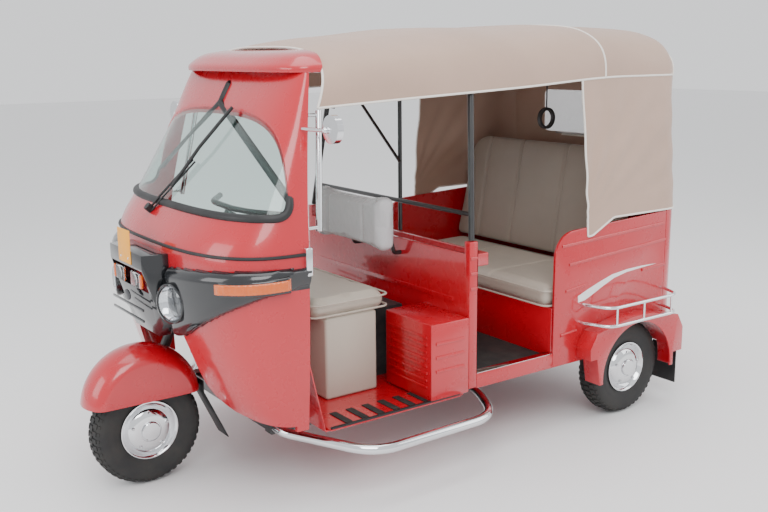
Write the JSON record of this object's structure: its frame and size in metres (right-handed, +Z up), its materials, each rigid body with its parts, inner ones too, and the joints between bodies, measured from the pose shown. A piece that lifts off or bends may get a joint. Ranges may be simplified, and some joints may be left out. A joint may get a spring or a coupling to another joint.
{
  "type": "auto rickshaw",
  "caption": "Three-wheeled passenger rickshaw with a steered front wheel, a hooded open body, a bench behind the driver and chromed step bars.",
  "frame": {"origin": "on the ground, midway along the vehicle and on its middle plane", "axes": "+X forward, +Y to the left, +Z up"},
  "size_m": [2.6188, 1.474, 1.7118],
  "materials": {
    "body_paint": "glossy crimson red paint",
    "frame_black": "satin black paint",
    "bumper_black": "glossy black moulding",
    "gasket": "matt black rubber",
    "glass": "clear safety glass, slightly green",
    "lamp_clear": "clear lamp lens",
    "lamp_orange": "orange lens",
    "lamp_red": "red lens",
    "chrome": "polished chrome",
    "plate": "orange enamel, blank",
    "trim_black": "matt black plastic",
    "seat_tan": "beige leathercloth",
    "seat_taupe": "taupe leathercloth",
    "pad_wrap": "grey cloth under a clear wrap",
    "canvas": "tan coated canvas",
    "engine_metal": "cast metal, dark",
    "tyre": "black tyre rubber",
    "wheel": "chromed wheel cover and steel rim"
  },
  "bodies": {
    "body": {"chassis": "frame_black", "floor_pan": "body_paint", "cab_shell": "body_paint", "visor": "body_paint", "windscreen": "glass", "windscreen_seal": "gasket", "belt_trim": "gasket", "front_grille": "bumper_black", "lamp_wings": "bumper_black", "headlamps": "lamp_clear", "indicators": "lamp_orange", "number_plate": "plate", "wiper": "trim_black", "mirrors": "chrome", "dashboard": "trim_black", "cab_rails": "chrome", "step_plates": "body_paint", "step_bars": "chrome", "seat_box": "seat_tan", "driver_seat": "seat_tan", "driver_backrest": "pad_wrap", "backrest_stay": "frame_black", "engine": "engine_metal", "engine_box": "body_paint", "partition": "body_paint", "bench_base": "body_paint", "bench_cushion": "seat_tan", "bench_backrest": "seat_taupe", "side_panels": "body_paint", "rear_panel": "body_paint", "rear_mudguards": "body_paint", "mudguard_rails": "chrome", "tail_lamps": "lamp_red", "hood_frame": "frame_black", "canopy": "canvas", "side_curtains": "canvas", "grab_handle": "trim_black", "rear_axle": "frame_black"},
    "steering": {"front_fork": "frame_black", "handlebar": "frame_black", "front_mudguard": "body_paint", "front_flap": "gasket"},
    "front_wheel": {"front_tyre": "tyre", "front_wheel": "wheel"},
    "rear_left_wheel": {"rear_left_tyre": "tyre", "rear_left_wheel": "wheel"},
    "rear_right_wheel": {"rear_right_tyre": "tyre", "rear_right_wheel": "wheel"}
  },
  "joints": [
    {"name": "steering", "type": "hinge", "parent": "body", "child": "steering", "pos_m": [1.04759, 0, 0.212], "axis": [-0.4226, 0, 0.9063], "range_deg": [-40, 40]},
    {"name": "front_wheel_spin", "type": "hinge", "parent": "steering", "child": "front_wheel", "pos_m": [1.07659, 0, 0.212], "axis": [0, 1, 0], "continuous": true},
    {"name": "rear_left_wheel_spin", "type": "hinge", "parent": "body", "child": "rear_left_wheel", "pos_m": [-0.92341, 0.571, 0.212], "axis": [0, 1, 0], "continuous": true},
    {"name": "rear_right_wheel_spin", "type": "hinge", "parent": "body", "child": "rear_right_wheel", "pos_m": [-0.92341, -0.571, 0.212], "axis": [0, 1, 0], "continuous": true}
  ]
}
